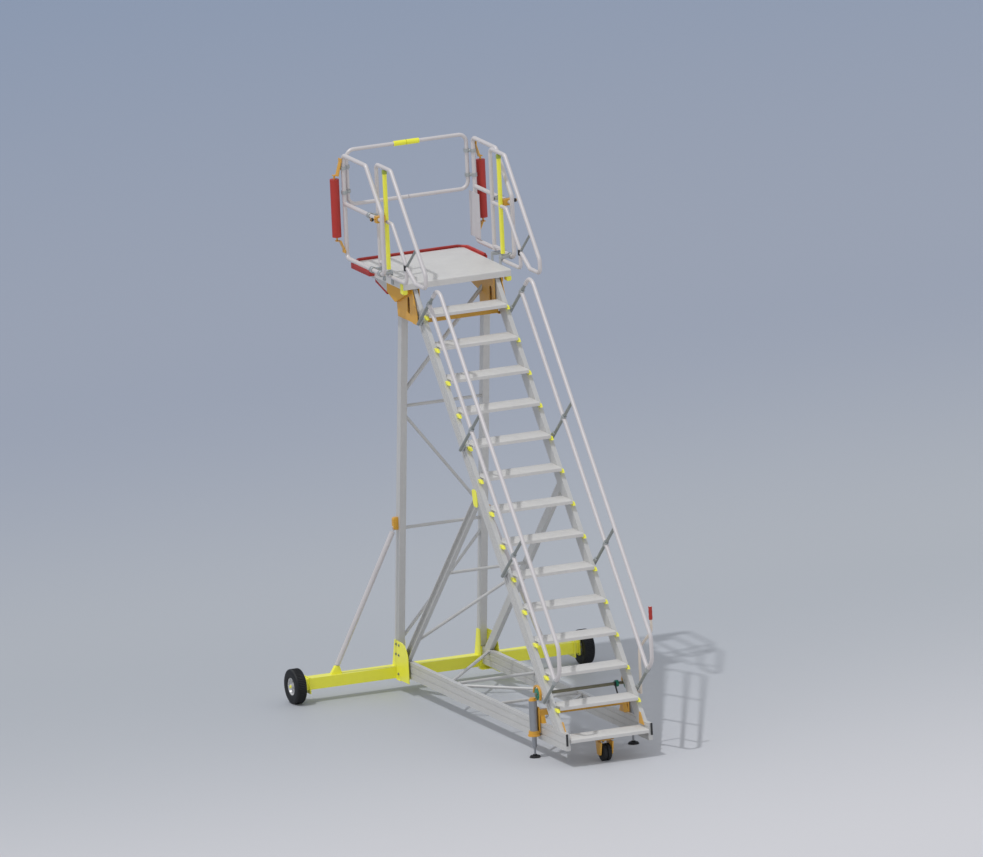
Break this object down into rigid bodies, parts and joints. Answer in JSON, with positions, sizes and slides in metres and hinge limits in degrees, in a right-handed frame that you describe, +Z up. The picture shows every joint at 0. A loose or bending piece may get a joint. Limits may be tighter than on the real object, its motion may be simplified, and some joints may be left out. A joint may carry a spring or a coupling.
{
  "type": "aircraft maintenance platform",
  "caption": "Wheeled aircraft maintenance platform: a stair on a braced base leads to a guarded deck with sliding side guards, swing gates and fender rollers.",
  "frame": {"origin": "on the floor under the middle of the whole machine", "axes": "+X to the right of a person climbing the stair, +Y towards the aircraft, +Z up"},
  "size_m": [2.808, 4.117, 4.773],
  "materials": {
    "mill_aluminium": "mill finish",
    "silver_tube": "satin anodised",
    "yellow_paint": "powder coat",
    "orange_paint": "powder coat",
    "black_plastic": "matt",
    "red_rubber": "satin",
    "grey_tube": "satin",
    "grey_cast": "cast",
    "zinc_steel": "zinc plated",
    "green_paint": "satin",
    "olive_steel": "satin",
    "cream_paint": "satin",
    "black_rubber": "matt",
    "tyre": "matt",
    "rim_grey": "satin"
  },
  "bodies": {
    "platform_frame": {"axle_beam": "yellow_paint", "mast_shoes": "yellow_paint", "masts": "mill_aluminium", "mast_braces": "mill_aluminium", "outrigger_struts": "silver_tube", "outrigger_brackets": "orange_paint", "base_rails": "mill_aluminium", "base_rail_caps": "black_plastic", "base_braces": "mill_aluminium", "back_struts": "mill_aluminium", "stair_stringers": "mill_aluminium", "stair_treads": "mill_aluminium", "stair_brackets": "yellow_paint", "deck": "mill_aluminium", "deck_corner_brackets": "yellow_paint", "deck_arms": "mill_aluminium", "mast_head": "orange_paint", "bumper": "red_rubber", "stair_handrails": "silver_tube", "handrail_posts": "grey_tube", "deck_guards": "silver_tube", "guard_braces": "grey_tube", "guard_posts": "yellow_paint", "guard_guides": "grey_cast", "index_plungers": "orange_paint", "jack_housings": "zinc_steel", "jack_beam": "orange_paint", "jack_gearboxes": "orange_paint", "jack_gears": "green_paint", "cross_shaft": "olive_steel", "jack_crank": "black_plastic", "control_lever": "cream_paint", "caster_mount": "orange_paint"},
    "caster_fork": {"caster_fork": "orange_paint"},
    "caster_wheels": {"caster_wheels": "black_rubber"},
    "wheel_left": {"tyre_left": "tyre", "rim_left": "rim_grey"},
    "jack_leg_left": {"jack_leg_left": "zinc_steel", "jack_foot_left": "black_rubber"},
    "sliding_guard_left": {"sliding_guard_left": "silver_tube", "gate_hinges_left": "grey_cast", "roller_bracket_left": "orange_paint"},
    "gate_left": {"gate_left": "silver_tube"},
    "roller_left": {"roller_left": "red_rubber"},
    "wheel_right": {"tyre_right": "tyre", "rim_right": "rim_grey"},
    "jack_leg_right": {"jack_leg_right": "zinc_steel", "jack_foot_right": "black_rubber"},
    "sliding_guard_right": {"sliding_guard_right": "silver_tube", "gate_hinges_right": "grey_cast", "roller_bracket_right": "orange_paint"},
    "gate_right": {"gate_right": "silver_tube"},
    "roller_right": {"roller_right": "red_rubber"}
  },
  "joints": [
    {"name": "wheel_left_spin", "type": "hinge", "parent": "platform_frame", "child": "wheel_left", "pos_m": [-1.36, 1.7585, 0.153], "axis": [1, 0, 0], "continuous": true},
    {"name": "wheel_right_spin", "type": "hinge", "parent": "platform_frame", "child": "wheel_right", "pos_m": [1.36, 1.7585, 0.153], "axis": [1, 0, 0], "continuous": true},
    {"name": "caster_swivel", "type": "hinge", "parent": "platform_frame", "child": "caster_fork", "pos_m": [0, -1.8415, 0.18], "axis": [0, 0, 1], "continuous": true},
    {"name": "caster_spin", "type": "hinge", "parent": "caster_fork", "child": "caster_wheels", "pos_m": [0, -1.8735, 0.075], "axis": [1, 0, 0], "continuous": true},
    {"name": "jack_left_lift", "type": "slide", "parent": "platform_frame", "child": "jack_leg_left", "axis": [0, 0, 1], "range_m": [0, 0.15]},
    {"name": "jack_right_lift", "type": "slide", "parent": "platform_frame", "child": "jack_leg_right", "axis": [0, 0, 1], "range_m": [0, 0.15]},
    {"name": "guard_left_slide", "type": "slide", "parent": "platform_frame", "child": "sliding_guard_left", "axis": [0, 1, 0], "range_m": [-0.39, 0]},
    {"name": "guard_right_slide", "type": "slide", "parent": "platform_frame", "child": "sliding_guard_right", "axis": [0, 1, 0], "range_m": [-0.39, 0]},
    {"name": "gate_left_swing", "type": "hinge", "parent": "sliding_guard_left", "child": "gate_left", "pos_m": [-0.562, 1.9635, 4.27], "axis": [0, 0, -1], "range_deg": [0, 90]},
    {"name": "gate_right_swing", "type": "hinge", "parent": "sliding_guard_right", "child": "gate_right", "pos_m": [0.562, 1.9635, 4.27], "axis": [0, 0, 1], "range_deg": [0, 90]},
    {"name": "roller_left_spin", "type": "hinge", "parent": "sliding_guard_left", "child": "roller_left", "pos_m": [-0.685, 1.9585, 4], "axis": [0, 0, 1], "continuous": true},
    {"name": "roller_right_spin", "type": "hinge", "parent": "sliding_guard_right", "child": "roller_right", "pos_m": [0.685, 1.9585, 4], "axis": [0, 0, 1], "continuous": true}
  ],
  "couplings": [
    {"joint": "jack_right_lift", "follows": "jack_left_lift", "ratio": 1}
  ]
}
